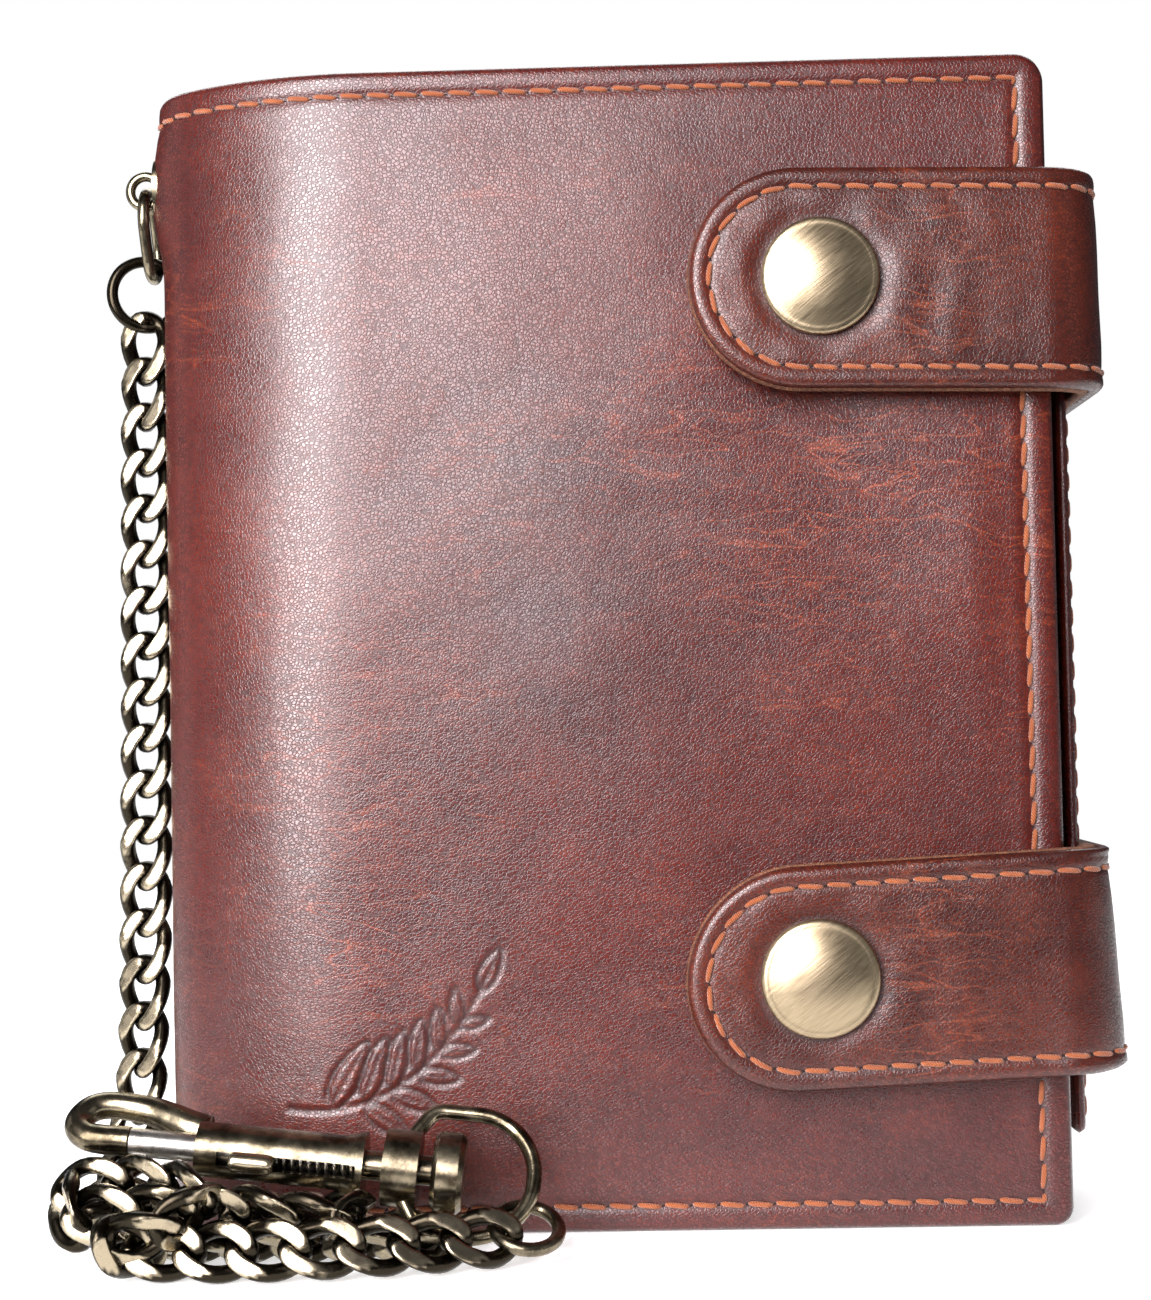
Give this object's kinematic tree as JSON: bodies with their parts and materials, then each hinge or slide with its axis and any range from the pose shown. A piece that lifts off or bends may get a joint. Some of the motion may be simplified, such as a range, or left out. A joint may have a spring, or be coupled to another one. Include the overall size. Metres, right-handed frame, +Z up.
{
  "type": "chain wallet",
  "caption": "Upright bifold leather wallet closed by two snap straps, with a curb chain and a trigger clasp lying beside it.",
  "frame": {"origin": "bottom centre of the wallet's own box (without the chain and clasp), on the surface it stands on", "axes": "+Z up along the wallet's height, +X from the folded spine to the opening edge, +Y from the front cover to the back cover"},
  "size_m": [0.112, 0.0526, 0.125],
  "materials": {
    "cover_leather": "semi-gloss oiled leather",
    "strap_leather": "semi-gloss oiled leather",
    "backing_leather": "raw edge leather",
    "inner_leather": "satin leather",
    "lining_fabric": "woven lining",
    "thread": "waxed thread",
    "clear_window": "clear film",
    "cap_brass": "brushed antique brass",
    "snap_steel": "plated steel",
    "spring_steel": "bright wire",
    "antique_brass": "blackened antique brass"
  },
  "bodies": {
    "front_half": {"front_cover": "cover_leather", "front_lining": "lining_fabric", "front_panel": "inner_leather", "card_slot_front_1": "inner_leather", "card_slot_front_2": "inner_leather", "card_slot_front_3": "inner_leather", "snap_stud_upper": "snap_steel", "snap_stud_lower": "snap_steel", "chain_plate": "antique_brass", "chain_bail": "antique_brass", "jump_ring": "antique_brass", "chain_run": "antique_brass", "chain_pile": "antique_brass", "chain_end_ring": "antique_brass", "clasp_barrel": "antique_brass", "clasp_hook": "antique_brass", "clasp_stem": "antique_brass", "clasp_spring": "spring_steel"},
    "leaf": {"leaf_frame": "inner_leather", "leaf_window": "clear_window"},
    "spine": {"spine_cover": "cover_leather", "spine_lining": "lining_fabric"},
    "back_half": {"back_cover": "cover_leather", "back_lining": "lining_fabric", "back_panel": "inner_leather", "card_slot_back_1": "inner_leather", "card_slot_back_2": "inner_leather", "card_slot_back_3": "inner_leather", "bill_divider": "lining_fabric", "coin_pouch": "inner_leather", "coin_flap": "inner_leather", "coin_snap_cap": "cap_brass", "side_wall": "cover_leather", "strap_upper_base": "strap_leather", "strap_lower_base": "strap_leather"},
    "strap_upper": {"strap_upper_tab": "strap_leather", "strap_upper_backing": "backing_leather", "snap_cap_upper": "cap_brass", "snap_socket_upper": "snap_steel"},
    "strap_lower": {"strap_lower_tab": "strap_leather", "strap_lower_backing": "backing_leather", "snap_cap_lower": "cap_brass", "snap_socket_lower": "snap_steel"},
    "clasp_bolt": {"clasp_plunger": "antique_brass", "clasp_knob": "antique_brass"},
    "clasp_swivel": {"swivel_loop": "antique_brass"}
  },
  "joints": [
    {"name": "spine_fold", "type": "hinge", "parent": "front_half", "child": "spine", "pos_m": [-0.04647, 0.00745, 0.0625], "axis": [0, 0, 1], "range_deg": [0, 60]},
    {"name": "cover_fold", "type": "hinge", "parent": "spine", "child": "back_half", "pos_m": [-0.03226, 0.01373, 0.0625], "axis": [0, 0, 1], "range_deg": [0, 108]},
    {"name": "leaf_turn", "type": "hinge", "parent": "front_half", "child": "leaf", "pos_m": [-0.03669, -0.00573, 0.0625], "axis": [0, 0, 1], "range_deg": [0, 12]},
    {"name": "strap_upper_fold", "type": "hinge", "parent": "back_half", "child": "strap_upper", "pos_m": [0.05079, -0.0128, 0.0999], "axis": [0, 0, 1], "range_deg": [0, 150]},
    {"name": "strap_lower_fold", "type": "hinge", "parent": "back_half", "child": "strap_lower", "pos_m": [0.05079, -0.0128, 0.028], "axis": [0, 0, 1], "range_deg": [0, 150]},
    {"name": "clasp_bolt_slide", "type": "slide", "parent": "front_half", "child": "clasp_bolt", "axis": [0.9938, 0, -0.1115], "range_m": [0, 0.004], "stiffness_N_per_m": 150, "springref_m": -0.002, "deforming": ["clasp_spring"]},
    {"name": "clasp_swivel_turn", "type": "hinge", "parent": "front_half", "child": "clasp_swivel", "pos_m": [-0.02152, -0.02032, 0.00896], "axis": [0.9938, 0, -0.1115], "range_deg": [-5, 10]}
  ],
  "couplings": [
    {"joint": "cover_fold", "follows": "spine_fold", "ratio": 1.8},
    {"joint": "leaf_turn", "follows": "spine_fold", "ratio": 0.2}
  ]
}
